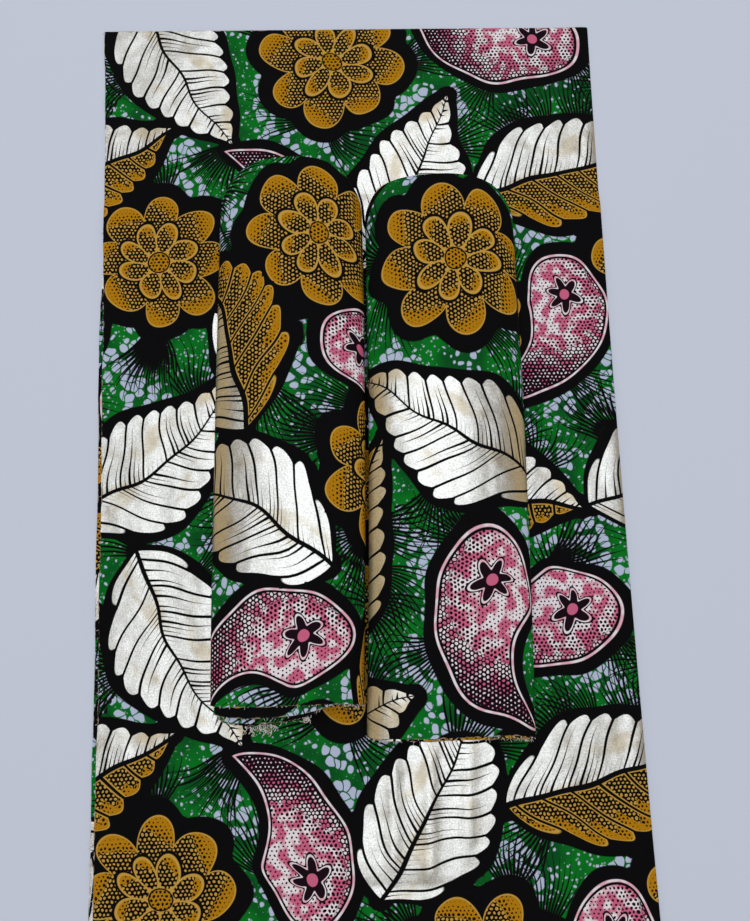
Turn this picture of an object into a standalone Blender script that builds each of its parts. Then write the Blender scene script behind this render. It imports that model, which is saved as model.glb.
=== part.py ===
"""A market set of wax print cloth: three lengths of two yards each, laid out flat.

The base length is doubled lengthwise, so that its right side is a fold and its left side has
both selvedges, and its end is turned under at the foot. The two other lengths are doubled
across their width and wound into soft flat rolls, with the fold at the head and the
selvedges at the foot, and lie side by side on the base.

Metres, +Z up, +Y towards the head. The origin is in the middle of the outline, on the floor.
"""

from collections import namedtuple

import bmesh
import bpy
import numpy as np

# Driving dimensions of the cloth
CUT_LENGTH = 1.830
DOUBLED_WIDTH = 0.548
PLY = 0.0012
SEAM_GAP = 0.0003
SLIT = 0.0003

# The base length
PANEL_LENGTH = 1.025
TAIL_LENGTH = CUT_LENGTH - PANEL_LENGTH
HEAD_SKEW = 0.0142
TAIL_OVERHANG = 0.0050
TAIL_SET_IN = 0.0030
OVERHANG_GROWS = 0.14
WAIST = 0.0040
LAYER = 2 * PLY + SLIT
STACK = 2 * LAYER + SEAM_GAP
EDGE_SLIT_DEPTH = 0.010
FOLD_BULGE = 0.0008
BULGE_START, BULGE_FULL = 0.016, 0.005
TAIL_RAMP = 0.024
FOOT_ROUND = STACK / 2
NOSE_ANGLES = (8, 30, 60, 90)
NOSE_DEPTH = 2.2 * FOOT_ROUND
OPEN_SLIT_DEPTH = DOUBLED_WIDTH - 2 * WAIST - 0.006
SLIT_LOW, SLIT_HIGH = PLY / LAYER, 1 - PLY / LAYER
UNDERSIDE_POINTS = 7
TAIL_STATIONS, TAIL_COLUMNS = 12, 5
LIFTED_ROWS, FIRST_LIFTED, LAST_LIFTED = 15, 0.04, 0.03
LAST_PLAIN_ROW = 0.08

FOOT_Y = -(PANEL_LENGTH + HEAD_SKEW / 2) / 2
TAIL_END_Y = FOOT_Y + TAIL_LENGTH
SIDE_SHIFT = TAIL_OVERHANG / 2

# Soft ridges of the base below the rolls: place across, height, half width
Ridge = namedtuple("Ridge", "x height half_width")
RIDGES = (
    Ridge(-0.024, 0.0012, 0.009),
    Ridge(0.023, 0.0008, 0.007),
    Ridge(0.058, 0.0010, 0.008),
    Ridge(0.096, 0.0007, 0.007),
)
RIDGE_START_Y = -0.27
RIDGE_FADE = 0.07

# The rolls: the doubled cloth is one wall, wound five times
WALL = 0.0024
TURN_PITCH = 0.0034
INNER_TURNS = 4
LOOSE = 0.00035
ANGLE_STEP = 9.0
LAP_START, LAP_FULL, LAP_END, LAP_GONE = 261.0, 243.0, 216.0, 198.0
FREE_EDGE = 234.0
TOP_FULLNESS = 2.25
BED_FULLNESS = 3.4
END_GROOVE = 0.009
BED_HOLDS = 0.76
SHOULDER_ROUND = 0.96
TUCK_LENGTH = 0.030
HEAD_STATIONS = (0.022, 0.014, 0.008, 0.004)
SIDE_TUCK = 0.011
CROWN_TUCK = 0.0025
BODY_STATIONS = 7

# One row of the frayed foot: place across from left to right, and how far the turns slip out
Slip = namedtuple("Slip", "across reach")

Roll = namedtuple(
    "Roll",
    "name foot_y head_y centre half_width height bed_share left_shoulder right_shoulder slips "
    "free_edge_side foot_depths head_depths",
)
ROLLS = (
    Roll(
        name="left",
        foot_y=-0.2231,
        head_y=0.3355,
        centre=(-0.0765, -0.0680, -0.0610),
        half_width=(0.0750, 0.0768, 0.0743),
        height=(0.0365, 0.0380, 0.0375),
        bed_share=0.44,
        left_shoulder=0.028,
        right_shoulder=0.034,
        slips=(
            Slip(0.0, 0.002), Slip(0.11, 0.015), Slip(0.32, 0.021), Slip(0.56, 0.018),
            Slip(0.70, 0.013), Slip(0.76, 0.007), Slip(0.86, 0.005), Slip(1.0, 0.001),
        ),
        free_edge_side=-1,
        foot_depths=(0.45, 0.75, 1.0, 0.85),
        head_depths=(0.0022, 0.0050, 0.0032, 0.0065),
    ),
    Roll(
        name="right",
        foot_y=-0.2580,
        head_y=0.3105,
        centre=(0.0818, 0.0913, 0.0945),
        half_width=(0.0818, 0.0800, 0.0783),
        height=(0.0370, 0.0385, 0.0375),
        bed_share=0.44,
        left_shoulder=0.016,
        right_shoulder=0.025,
        slips=(
            Slip(0.0, 0.004), Slip(0.2, 0.005), Slip(0.5, 0.0045), Slip(0.8, 0.005),
            Slip(1.0, 0.0035),
        ),
        free_edge_side=1,
        foot_depths=(0.75, 1.0, 0.4, 1.1),
        head_depths=(0.0030, 0.0018, 0.0060, 0.0040),
    ),
)

# Finish of each piece: colour, roughness, metallic
GREEN_GROUND = (0.010, 0.170, 0.030, 1.0)
OCHRE_PRINT = (0.420, 0.200, 0.010, 1.0)
FOIL_PRINT = (0.620, 0.500, 0.300, 1.0)


def smooth_step(start, end, value):
    """0 before start, 1 past end and an even rise between them."""
    t = np.clip((value - start) / (end - start), 0.0, 1.0)
    return t * t * (3 - 2 * t)


def remove_everything():
    for item in list(bpy.data.objects):
        bpy.data.objects.remove(item, do_unlink=True)


def cloth_material(name, colour, roughness, metallic):
    material = bpy.data.materials.new(name)
    material.use_nodes = True
    shader = material.node_tree.nodes["Principled BSDF"]
    shader.inputs["Base Color"].default_value = colour
    shader.inputs["Roughness"].default_value = roughness
    shader.inputs["Metallic"].default_value = metallic
    material.diffuse_color = colour
    return material


def skin_rings(name, rings, caps, material, collection):
    """Skins a stack of closed rings of points, and closes its two ends.

    rings has the shape (stations, points, 3). caps is "face" for one face over each end, or
    "wall" where a ring goes out along a wall and back, so that its end is a row of quads.
    """
    points = rings.shape[1]
    mesh_data = bmesh.new()
    grid = [[mesh_data.verts.new(point) for point in ring] for ring in rings]
    for low, high in zip(grid, grid[1:]):
        for j in range(points):
            k = (j + 1) % points
            mesh_data.faces.new((low[j], low[k], high[k], high[j]))
    for end in (grid[0], grid[-1]):
        if caps == "face":
            mesh_data.faces.new(end)
        else:
            for j in range(points // 2 - 1):
                mesh_data.faces.new((end[j], end[j + 1], end[-2 - j], end[-1 - j]))
    bmesh.ops.triangulate(mesh_data, faces=[f for f in mesh_data.faces if len(f.verts) > 4])
    bmesh.ops.recalc_face_normals(mesh_data, faces=mesh_data.faces)
    mesh = bpy.data.meshes.new(name)
    mesh_data.to_mesh(mesh)
    mesh_data.free()
    mesh.materials.append(material)
    mesh.shade_smooth()
    mesh.set_sharp_from_angle(angle=np.radians(40))
    piece = bpy.data.objects.new(name, mesh)
    collection.objects.link(piece)
    return piece


def waist(y):
    """How far the side edges of the base draw in, most at the middle of the length."""
    return WAIST * (1 - (2 * y / PANEL_LENGTH) ** 2)


def left_edge(y):
    return SIDE_SHIFT - DOUBLED_WIDTH / 2 + waist(y)


def right_edge(y):
    return SIDE_SHIFT + DOUBLED_WIDTH / 2 - waist(y)


def along(x, from_foot):
    """The y of a point that lies from_foot up the panel, whose head edge is a little skewed."""
    skew = -HEAD_SKEW * (x - SIDE_SHIFT) / DOUBLED_WIDTH
    return FOOT_Y + from_foot * (1 + skew / PANEL_LENGTH)


def base_top(x, y):
    """Height of the upper leaf: it steps down past the tail's end and has soft ridges."""
    rise = smooth_step(TAIL_END_Y + TAIL_RAMP, TAIL_END_Y + SEAM_GAP, y)
    top = LAYER + (STACK - LAYER) * rise
    fade = smooth_step(RIDGE_START_Y, RIDGE_START_Y - RIDGE_FADE, y)
    for ridge in RIDGES:
        top = top + fade * ridge.height * np.exp(-(((x - ridge.x) / ridge.half_width) ** 2))
    bulge = smooth_step(right_edge(y) - BULGE_START, right_edge(y) - BULGE_FULL, x)
    return top + FOLD_BULGE * bulge


def leaf_ring(from_foot, low, top_at, slit_depth, left, right, columns):
    """One section across a doubled leaf, as a closed ring.

    The ring runs along the top from the left edge to the fold, round the fold, back along the
    underside, and in and out of the slit between the two plies. low is the height of the
    underside, top_at(x) that of the top, and columns are shares across the leaf.
    """
    thick = float(top_at(np.array((left,)))[0]) - low
    x_top = left + (right - left - thick / 2) * columns
    z_top = top_at(x_top)
    fold_height = z_top[-1] - low
    turn = np.radians((60, 20, -20, -60))
    x_fold = right - fold_height / 2 * (1 - np.cos(turn))
    z_fold = low + fold_height / 2 * (1 + np.sin(turn))
    x_low = np.linspace(x_top[-1], left + PLY, UNDERSIDE_POINTS)
    z_low = np.full(UNDERSIDE_POINTS, low)
    x_slit = np.array((left + PLY, left + slit_depth, left + slit_depth, left))
    z_slit = low + thick * np.array((SLIT_LOW, SLIT_LOW, SLIT_HIGH, SLIT_HIGH))
    x = np.concatenate((x_top, x_fold, x_low, x_slit))
    z = np.concatenate((z_top, z_fold, z_low, z_slit))
    return np.stack((x, along(x, from_foot), z), axis=1)


def base_columns():
    """Shares across the leaf, closer together where the ridges are and at the fold."""
    plain_left = np.linspace(0.0, 0.38, 6)
    ridged = np.linspace(0.40, 0.76, 24)
    plain_right = np.array((0.80, 0.87, 0.94, 0.972, 0.986, 1.0))
    return np.concatenate((plain_left, ridged, plain_right))


def base_rows():
    """Sections of the panel from foot to head: distance from the foot, and what it is.

    In the nose the leaf turns under. A floor row reaches the floor, a lifted one lies on the
    tail, and an open one has its slit right across, up to the fold.
    """
    tail_end, head = TAIL_END_Y - FOOT_Y, PANEL_LENGTH
    rows = [(FOOT_ROUND * (1 - np.cos(np.radians(angle))), "nose") for angle in NOSE_ANGLES]
    rows += [(NOSE_DEPTH, "floor"), (NOSE_DEPTH + SEAM_GAP, "lifted")]
    first, last = NOSE_DEPTH + FIRST_LIFTED, tail_end - LAST_LIFTED
    rows += [(step, "lifted") for step in np.linspace(first, last, LIFTED_ROWS)]
    rows += [(tail_end + SEAM_GAP, "lifted"), (tail_end + 2 * SEAM_GAP, "floor")]
    rows += [(tail_end + TAIL_RAMP * share, "floor") for share in (0.25, 0.5, 0.75, 1.0)]
    rows += [(head - LAST_PLAIN_ROW, "floor"), (head - EDGE_SLIT_DEPTH, "floor")]
    return rows + [(head - EDGE_SLIT_DEPTH + SEAM_GAP, "open"), (head, "open")]


def build_base_cloth(material, collection):
    """The doubled panel: its foot is a round nose that reaches the floor, and its underside
    steps down to the floor again past the end of the tail."""
    rings = []
    for from_foot, kind in base_rows():
        y = FOOT_Y + from_foot
        nose = 1.0
        if kind == "nose":
            nose = np.sqrt(1 - (1 - from_foot / FOOT_ROUND) ** 2)
        low = LAYER + SEAM_GAP if kind == "lifted" else STACK / 2 * (1 - nose)

        def top_at(x, y=y, nose=nose):
            return STACK / 2 + (base_top(x, y) - STACK / 2) * nose

        slit = OPEN_SLIT_DEPTH if kind == "open" else EDGE_SLIT_DEPTH
        rings.append(
            leaf_ring(from_foot, low, top_at, slit, left_edge(y), right_edge(y), base_columns())
        )
    return skin_rings("base_cloth", np.array(rings), "face", material, collection)


def build_base_tail(material, collection):
    """The turned-under end, flat on the floor, its selvedges a little past the panel's."""
    rings = []
    for from_foot in np.linspace(NOSE_DEPTH + 2 * SEAM_GAP, TAIL_LENGTH, TAIL_STATIONS):
        y = FOOT_Y + from_foot
        reach = TAIL_OVERHANG * smooth_step(TAIL_LENGTH, TAIL_LENGTH - OVERHANG_GROWS, from_foot)

        def top_at(x):
            return np.full(len(x), LAYER)

        rings.append(
            leaf_ring(from_foot, 0.0, top_at, EDGE_SLIT_DEPTH, left_edge(y) - reach,
                      right_edge(y) - TAIL_SET_IN, np.linspace(0.0, 1.0, TAIL_COLUMNS))
        )
    return skin_rings("base_tail", np.array(rings), "face", material, collection)


def through_three(values, share):
    """The parabola that has the three values at shares 0, 0.5 and 1."""
    foot, middle, head = values
    return (
        foot * (1 - share) * (1 - 2 * share) + middle * 4 * share * (1 - share)
        + head * share * (2 * share - 1)
    )


def head_line(roll, angle):
    """Where the fold at the head ends: the rolls' shoulders fall back along an ellipse."""
    side = np.cos(np.radians(angle))
    shoulder = np.where(side < 0, roll.left_shoulder, roll.right_shoulder)
    return roll.head_y - shoulder * (1 - np.sqrt(1 - SHOULDER_ROUND * side**2))


def oval(roll, y, angle, inset):
    """A point on the roll's rounded outline, moved inwards by inset.

    The outline is a superellipse, fuller on its bed than on top, whose sides and crown turn
    in along a parabola at the head. Angles are in degrees, from 0 at the right, over 90 at
    the crown and 180 at the left.
    """
    share = (y - roll.foot_y) / (roll.head_y - roll.foot_y)
    from_head = np.clip((head_line(roll, angle) - y) / TUCK_LENGTH, 0.0, 1.0)
    turned_in = (1 - from_head) ** 2
    height = through_three(roll.height, share)
    drop = height * roll.bed_share
    rise = height - drop - CROWN_TUCK * turned_in
    cosine, sine = np.cos(np.radians(angle)), np.sin(np.radians(angle))
    above = sine >= 0
    fullness = np.where(above, TOP_FULLNESS, BED_FULLNESS)
    reach = np.where(above, rise, drop) - inset
    half_width = through_three(roll.half_width, share) - SIDE_TUCK * turned_in - inset
    x = through_three(roll.centre, share) + (
        half_width * np.sign(cosine) * np.abs(cosine) ** (2 / fullness)
    )
    z = STACK + LOOSE + drop + reach * np.sign(sine) * np.abs(sine) ** (2 / fullness)
    return x, z


def lap_inset(roll, angle):
    """How far a turn lies further in where it passes under the free edge."""
    turned = np.mod(angle, 360.0)
    if roll.free_edge_side > 0:
        turned = np.mod(180.0 - angle, 360.0)
    dive = smooth_step(LAP_START, LAP_FULL, turned) * smooth_step(LAP_GONE, LAP_END, turned)
    return (WALL + LOOSE) * dive


def foot_slip(roll, angle):
    """How far the loosest inner turn slips out at the foot, less on the bed side."""
    across = (1 + np.cos(np.radians(angle))) / 2
    places = [slip.across for slip in roll.slips]
    reach = np.interp(across, places, [slip.reach for slip in roll.slips])
    return reach * (1 - BED_HOLDS * (1 - np.sin(np.radians(angle))) / 2)


def body_stations(foot, head):
    """Rows of y values along a roll, up to where its head starts to turn in."""
    for step in np.linspace(0.0, 1.0, BODY_STATIONS):
        yield foot + (head - TUCK_LENGTH - foot) * step


def build_wrap(roll, material, collection):
    """The outer turn: one wall from its free edge, round the roll and under that edge again."""
    angle = np.arange(FREE_EDGE, LAP_END - 360.0 - ANGLE_STEP / 2, -ANGLE_STEP)
    under = angle < 0
    if roll.free_edge_side > 0:
        angle = 180.0 - angle
    inset = lap_inset(roll, angle) * under
    head, foot = head_line(roll, angle), np.full(len(angle), roll.foot_y)
    rim = WALL / 2
    stations = list(body_stations(foot, head))
    stations += [head - back for back in HEAD_STATIONS] + [head - rim]
    rings = [(y, inset, inset + WALL) for y in stations]
    for turn in np.radians((35, 65, 85)):
        y = head - rim * (1 - np.sin(turn))
        round_in = rim * (1 - np.cos(turn))
        rings.append((y, inset + round_in, inset + WALL - round_in))
    skin = []
    for y, outer, inner in rings:
        x_out, z_out = oval(roll, y, angle, outer)
        x_in, z_in = oval(roll, y, angle, inner)
        out = np.stack((x_out, y, z_out), axis=1)
        back = np.stack((x_in, y, z_in), axis=1)[::-1]
        skin.append(np.concatenate((out, back)))
    return skin_rings(f"{roll.name}_wrap", np.array(skin), "wall", material, collection)


def build_core(roll, material, collection):
    """The inner turns as one solid, whose two ends show each turn with a groove between."""
    angle = np.arange(0.0, 360.0, ANGLE_STEP)
    dive = lap_inset(roll, angle)
    insets = [
        WALL + LOOSE + dive * (1 - turn / INNER_TURNS) + turn * TURN_PITCH
        for turn in range(INNER_TURNS)
    ]
    groove = (TURN_PITCH - WALL) / 2
    head, foot, slip = head_line(roll, angle), roll.foot_y, foot_slip(roll, angle)
    foot_floor = np.full(len(angle), foot + END_GROOVE)
    head_floor = head - END_GROOVE
    rings = [(foot_floor, insets[-1] + WALL)]
    for k in reversed(range(INNER_TURNS)):
        edge = foot - slip * roll.foot_depths[k]
        rings += [(edge, insets[k] + WALL), (edge, insets[k])]
        rings += [(foot_floor, insets[k] - groove if k else insets[0])]
    stations = list(body_stations(foot, head))[1:]
    stations += [head - back for back in HEAD_STATIONS if back > END_GROOVE]
    rings += [(y, insets[0]) for y in stations]
    rim = WALL / 2
    for k in range(INNER_TURNS):
        fold = head - roll.head_depths[k]
        rings.append((head_floor, insets[k] - groove if k else insets[0]))
        rings += [(fold - rim, insets[k]), (fold, insets[k] + rim), (fold - rim, insets[k] + WALL)]
    rings.append((head_floor, insets[-1] + WALL))
    skin = []
    for y, inset in rings:
        x, z = oval(roll, y, angle, inset)
        skin.append(np.stack((x, y, z), axis=1))
    return skin_rings(f"{roll.name}_core", np.array(skin), "face", material, collection)


def main():
    remove_everything()
    collection = bpy.data.collections.new("wax_print_set")
    bpy.context.scene.collection.children.link(collection)
    ground = cloth_material("printed_green", GREEN_GROUND, 0.55, 0.0)
    ochre = cloth_material("printed_ochre", OCHRE_PRINT, 0.55, 0.0)
    foil = cloth_material("printed_foil", FOIL_PRINT, 0.38, 0.6)
    build_base_cloth(ground, collection)
    build_base_tail(ochre, collection)
    for roll in ROLLS:
        build_wrap(roll, foil, collection)
        build_core(roll, ochre, collection)


main()
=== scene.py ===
"""Dressed scene of a set of wax print cloth.

Three lengths of one cloth are shown: the base length, doubled lengthwise and laid flat with its
end turned under at the foot, and two lengths that are doubled across their width and wound into
soft flat rolls, lying side by side on the base. Metres, +Z up, +Y towards the head. The print's
own units are millimetres.
"""

import logging
from dataclasses import dataclass
from enum import Enum
from typing import Callable, Union

import bpy
import numpy as np
from mathutils import Euler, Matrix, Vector


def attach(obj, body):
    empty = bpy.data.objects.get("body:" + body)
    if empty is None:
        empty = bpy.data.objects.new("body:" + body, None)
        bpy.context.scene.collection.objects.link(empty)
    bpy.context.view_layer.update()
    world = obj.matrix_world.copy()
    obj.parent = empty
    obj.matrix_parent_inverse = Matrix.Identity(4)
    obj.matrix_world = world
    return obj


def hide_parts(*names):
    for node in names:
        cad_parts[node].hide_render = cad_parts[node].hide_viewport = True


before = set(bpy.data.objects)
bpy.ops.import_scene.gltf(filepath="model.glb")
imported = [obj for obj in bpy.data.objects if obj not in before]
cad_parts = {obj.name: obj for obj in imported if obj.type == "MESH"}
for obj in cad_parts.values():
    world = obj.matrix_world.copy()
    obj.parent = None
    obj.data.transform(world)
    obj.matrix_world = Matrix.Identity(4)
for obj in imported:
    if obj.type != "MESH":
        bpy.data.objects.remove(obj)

log = logging.getLogger("wax_print_set")
MM = 0.001
ROOT = "root"
CUT = (1.096, 1.830)
FANS = ("fan_1", "fan_2", "fan_3")
Array = np.ndarray
Value = Union[float, Array, "Signal"]
Pair = tuple[float, float]
Triple = tuple[float, float, float]
Colour = Triple


def operator(operation: str) -> tuple[Callable, Callable]:
    """An operator's method and its reflected form, each of which adds one Math node.

    Args:
        operation: The Math node's operation.

    Returns:
        The two methods.
    """

    def plain(own: "Signal", other: Value) -> "Signal":
        """The node on this signal and the other value."""
        return own.graph.math(operation, own, other)

    def reflected(own: "Signal", other: Value) -> "Signal":
        """The node on the other value and this signal."""
        return own.graph.math(operation, other, own)

    return plain, reflected


class Signal:
    """A socket's value in a material, on which arithmetic adds Math nodes."""

    __array_priority__ = 100
    __add__, __radd__ = operator("ADD")
    __sub__, __rsub__ = operator("SUBTRACT")
    __mul__, __rmul__ = operator("MULTIPLY")
    __truediv__, __rtruediv__ = operator("DIVIDE")

    def __init__(self, graph: "Graph", socket: bpy.types.NodeSocket) -> None:
        """Wraps an output socket of a material's graph."""
        self.graph = graph
        self.socket = socket

    def __neg__(self) -> "Signal":
        """Negative."""
        return -1.0 * self


class Graph:
    """A material's node tree, filled by expressions."""

    def __init__(self, name: str) -> None:
        """Starts an empty material of that name."""
        self.material = bpy.data.materials.new(name)
        self.material.use_nodes = True
        self.tree = self.material.node_tree
        self.tree.nodes.clear()

    def node(self, kind: str, inputs: dict, **settings: object) -> bpy.types.Node:
        """Adds one node.

        Args:
            kind: The node's type, without the words ShaderNode.
            inputs: Values or signals for its sockets, by name or by number.
            settings: Its properties, which are set first.

        Returns:
            The node.
        """
        made = self.tree.nodes.new(f"ShaderNode{kind}")
        for name, value in settings.items():
            setattr(made, name, value)
        for key, value in inputs.items():
            if isinstance(value, Signal):
                self.tree.links.new(value.socket, made.inputs[key])
            else:
                made.inputs[key].default_value = value
        return made

    def add(self, kind: str, inputs: dict, output: object = 0, **settings: object) -> Signal:
        """Adds one node, as node() does, and gives the signal of one of its outputs."""
        return Signal(self, self.node(kind, inputs, **settings).outputs[output])

    def math(self, operation: str, *values: Value) -> Signal:
        """Adds a Math node on one, two or three values."""
        return self.add("Math", dict(enumerate(values)), operation=operation)

    def vector(self, operation: str, *values: object) -> Signal:
        """Adds a Vector Math node; the result is a number for LENGTH."""
        output = "Value" if operation == "LENGTH" else "Vector"
        return self.add("VectorMath", dict(enumerate(values)), output, operation=operation)

    def scaled(self, vector: Signal, factor: float) -> Signal:
        """A vector times a plain number."""
        return self.vector("MULTIPLY", vector, (factor, factor, factor))

    def parts(self, vector: Signal) -> list[Signal]:
        """The three components of a vector."""
        return [Signal(self, output) for output in self.node("SeparateXYZ", {0: vector}).outputs]

    def joined(self, x: Value, y: Value) -> Signal:
        """A vector of two values and 0."""
        return self.add("CombineXYZ", {0: x, 1: y})

    def blend(self, share: Value, first: object, second: object) -> Signal:
        """Mixes two colours, each plain or a signal; share 0 gives the first."""
        inputs = {0: share}
        for key, colour in ((6, first), (7, second)):
            inputs[key] = colour if isinstance(colour, Signal) else (*colour, 1.0)
        return self.add("Mix", inputs, 2, data_type="RGBA", clamp_factor=True)

    def coats(self, colour: object, *coats: tuple[Value, object]) -> Signal:
        """Lays coats over a colour in turn, each with where it covers and what it shows."""
        for share, coat in coats:
            colour = self.blend(share, colour, coat)
        return colour

    def noise(self, place: Signal, pitch: float, detail: float = 2.0) -> Signal:
        """Soft noise from 0 to 1 whose lumps are about pitch apart, in the unit of place."""
        inputs = {"Vector": place, "Scale": 1.0 / pitch, "Detail": detail, "Roughness": 0.5}
        return self.add("TexNoise", inputs, noise_dimensions="3D")

    def swayed(self, place: Signal, pitch: float, reach: float) -> Signal:
        """A place moved by flat noise with lumps about pitch apart, by reach at most."""
        inputs = {"Vector": place, "Scale": 1.0 / pitch, "Detail": 1.0}
        shift = self.add("TexNoise", inputs, "Color", noise_dimensions="2D")
        return self.vector("ADD", place, self.scaled(shift, reach))

    def cells(self, place: Signal, pitch: float, feature: str = "F1") -> Signal:
        """Distance to the nearest of scattered points, as a share of their pitch."""
        inputs = {"Vector": place, "Scale": 1.0 / pitch}
        return self.add("TexVoronoi", inputs, "Distance", voronoi_dimensions="2D", feature=feature)

    def chance(self, number: Value) -> Signal:
        """A random number from 0 to 1 for each value of number."""
        return self.add("TexWhiteNoise", {"W": number}, "Value", noise_dimensions="1D")

    def attribute(self, name: str, output: str = "Fac") -> Signal:
        """The number or, from the output Vector, the vector that a mesh attribute holds."""
        return self.add("Attribute", {}, output, attribute_name=name)

    def finish(self, inputs: dict) -> bpy.types.Material:
        """Ends the material with a Principled shader that has these inputs."""
        self.node("OutputMaterial", {"Surface": self.add("BsdfPrincipled", inputs)})
        return self.material


def either(operation: str, plain: Callable) -> Callable:
    """An operation on numbers and arrays, or on signals, where it adds a Math node.

    Args:
        operation: The Math node's operation.
        plain: The same for numbers and arrays.

    Returns:
        The function that does either.
    """

    def worked_out(*values: Value) -> Value:
        """The operation on these values."""
        for value in values:
            if isinstance(value, Signal):
                return value.graph.math(operation, *values)
        return plain(*values)

    return worked_out


sine = either("SINE", np.sin)
cosine = either("COSINE", np.cos)
root = either("SQRT", np.sqrt)
size = either("ABSOLUTE", np.abs)
whole = either("ROUND", np.round)
lower = either("MINIMUM", np.minimum)
higher = either("MAXIMUM", np.maximum)
power = either("POWER", np.power)
heading = either("ARCTAN2", np.arctan2)


def far(x: Value, y: Value) -> Value:
    """The length of (x, y)."""
    return root(x * x + y * y)


def kept(value: Value, low: float, high: float) -> Value:
    """The value, kept between two numbers."""
    return lower(higher(value, low), high)


def rise(start: Value, end: Value, value: Value) -> Value:
    """0 at start, 1 at end, with the even rise 3t^2 - 2t^3 between them."""
    for item in (start, end, value):
        if isinstance(item, Signal):
            inputs = {0: value, 1: start, 2: end}
            return item.graph.add("MapRange", inputs, interpolation_type="SMOOTHSTEP", clamp=True)
    t = np.clip((value - start) / (end - start), 0.0, 1.0)
    return t * t * (3.0 - 2.0 * t)


def below(value: Value, limit: Value, soft: float = 0.35) -> Value:
    """1 where value is under limit, 0 where it is over, soft within that many units."""
    return rise(limit + soft, limit - soft, value)


def ink_line(distance: Value, half_width: Value) -> Value:
    """1 on a drawn line, from the signed distance to its middle."""
    return below(size(distance), half_width, 0.3)


def turned(offset: Array, angle: Value, scale: float = 1.0, mirrored: bool = False) -> Array:
    """Offsets as a figure's own frame sees them.

    Args:
        offset: Offsets from the frame's origin, (..., 2).
        angle: The frame's turn, in radians.
        scale: Its scale.
        mirrored: Whether its second axis is mirrored.

    Returns:
        The offsets in that frame, (..., 2).
    """
    u = (offset[..., 0] * np.cos(angle) + offset[..., 1] * np.sin(angle)) / scale
    v = (offset[..., 1] * np.cos(angle) - offset[..., 0] * np.sin(angle)) / scale
    return np.stack((u, -v if mirrored else v), axis=-1)


def placed(name: str, data: bpy.types.ID) -> bpy.types.Object:
    """Puts a mesh, a lamp or a camera into the scene as an object."""
    made = bpy.data.objects.new(name, data)
    bpy.context.scene.collection.objects.link(made)
    return made


@dataclass(frozen=True)
class Palette:
    """The colours of the print, linear, and two painted foil tones: painted shade and a painted
    golden reflection.
    """

    green: Colour = (0.0007, 0.119, 0.0086)
    deep_green: Colour = (0.0006, 0.051, 0.0079)
    bubble: Colour = (0.351, 0.380, 0.484)
    black: Colour = (0.0011, 0.0008, 0.0011)
    ochre: Colour = (0.313, 0.135, 0.0021)
    pale_ochre: Colour = (0.389, 0.216, 0.037)
    pink: Colour = (0.425, 0.085, 0.155)
    white: Colour = (0.597, 0.529, 0.534)
    rose_white: Colour = (0.553, 0.298, 0.346)
    plum: Colour = (0.0067, 0.0013, 0.0039)
    foil: Colour = (0.545, 0.523, 0.482)
    dull_foil: Colour = (0.402, 0.382, 0.340)
    # painted shade: tan foil laid in patches in place of the satin's dimmer reflection
    painted_shade_foil: Colour = (0.325, 0.260, 0.162)
    # painted reflection: golden foil for faces that lean, as if they mirrored the dim room
    painted_flank_reflection: Colour = (0.620, 0.490, 0.285)
    selvedge: Colour = (0.223, 0.160, 0.115)


@dataclass(frozen=True)
class Ink:
    """What a motif prints at each point: its colour, and where the metal foil lies."""

    colour: Signal
    foil: Value = 0.0


@dataclass(frozen=True)
class Stipple:
    """Halftone dots on a staggered lattice, a little uneven."""

    pitch: float = 4.3
    waver: float = 3.2
    waver_pitch: float = 9.0
    turn_over: float = 0.5
    soft: float = 0.045

    def reach(self, graph: Graph, cloth: Signal) -> Signal:
        """Distance to the nearest dot's middle, as a share of the pitch.

        Two upright lattices, one pitch wide and the root of 3 pitches high, lie half a cell
        apart; the nearer point of the two is the dot.

        Args:
            graph: The material.
            cloth: The place on the cloth, in millimetres.

        Returns:
            0 at a dot's middle, and at most about 0.58.
        """
        place = graph.swayed(cloth, self.waver_pitch, self.waver)
        steps = graph.vector("DIVIDE", place, (self.pitch, self.pitch * 3**0.5, 1.0))
        lengths = []
        for half in (0.0, 0.5):
            inside = graph.vector("FRACTION", graph.vector("ADD", steps, (half, half, 0.0)))
            inside = graph.vector("SUBTRACT", inside, (0.5, 0.5, 0.0))
            inside = graph.vector("MULTIPLY", inside, (1.0, 3**0.5, 0.0))
            lengths.append(graph.vector("LENGTH", inside))
        return lower(*lengths)

    def light(self, reach: Signal, tone: Signal) -> Signal:
        """Where the light ink shows: as dots on black at low tones, around black dots at high.

        Args:
            reach: Distance to the nearest dot's middle, as a share of the pitch.
            tone: 0 for small light dots, 1 for plain light ink.

        Returns:
            1 in the light ink, 0 in the black.
        """
        light_dots = below(reach, 0.15 + 0.44 * tone, self.soft)
        black_dots = below(reach, 0.65 - 0.56 * tone, self.soft)
        over = rise(self.turn_over - 0.01, self.turn_over + 0.01, tone)
        return light_dots + (1.0 - black_dots - light_dots) * over


@dataclass(frozen=True)
class Brush:
    """What a figure is painted with: the material, the inks and the nearest dot's distance."""

    graph: Graph
    inks: Palette
    dots: Signal

    def stippled(self, tone: Signal, dark: object, light: object) -> Signal:
        """A light ink in halftone on a dark one."""
        return self.graph.blend(Stipple().light(self.dots, tone), dark, light)

    def ochre(self, share: Signal, depth: Signal) -> Signal:
        """Stippled ochre in a pale outline.

        Args:
            share: From 0, black with pale dots, to 1, plain ochre.
            depth: How far a point lies inside the outline, in millimetres.

        Returns:
            The colour.
        """
        tone = 0.28 + 0.84 * share
        pale = self.inks.pale_ochre
        light = self.graph.blend(rise(0.44, 0.56, tone), pale, self.inks.ochre)
        stippled = self.stippled(tone, self.inks.black, light)
        return self.graph.blend(below(depth, 2.6), stippled, pale)


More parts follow.
